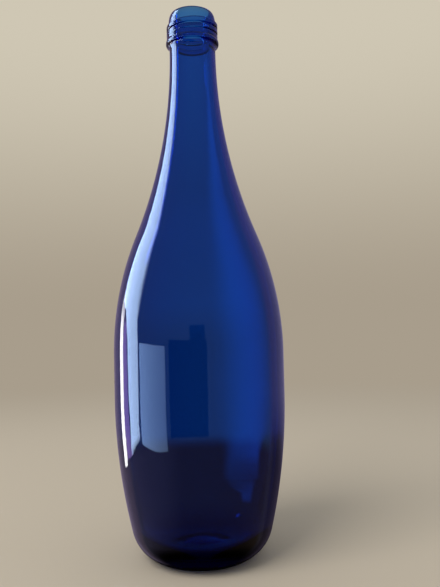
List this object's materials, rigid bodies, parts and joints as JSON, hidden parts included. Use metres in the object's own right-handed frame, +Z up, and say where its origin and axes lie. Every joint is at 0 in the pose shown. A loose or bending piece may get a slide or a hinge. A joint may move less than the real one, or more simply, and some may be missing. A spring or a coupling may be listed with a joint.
{
  "type": "glass bottle",
  "caption": "Tall blown bottle of cobalt-blue glass: rounded heel, swelling body, long neck drawn in by one sweep, and an open screw finish with a locking bead.",
  "frame": {"origin": "centre of the foot, on the plane that the bottle stands on", "axes": "+Z up along the bottle's axis, out of the mouth; +X and +Y are free, because the bottle is turned about +Z"},
  "size_m": [0.0892, 0.0892, 0.2878],
  "materials": {
    "cobalt_glass": "fire-polished, clear"
  },
  "bodies": {
    "root": {"glass_bottle": "cobalt_glass"}
  },
  "joints": []
}
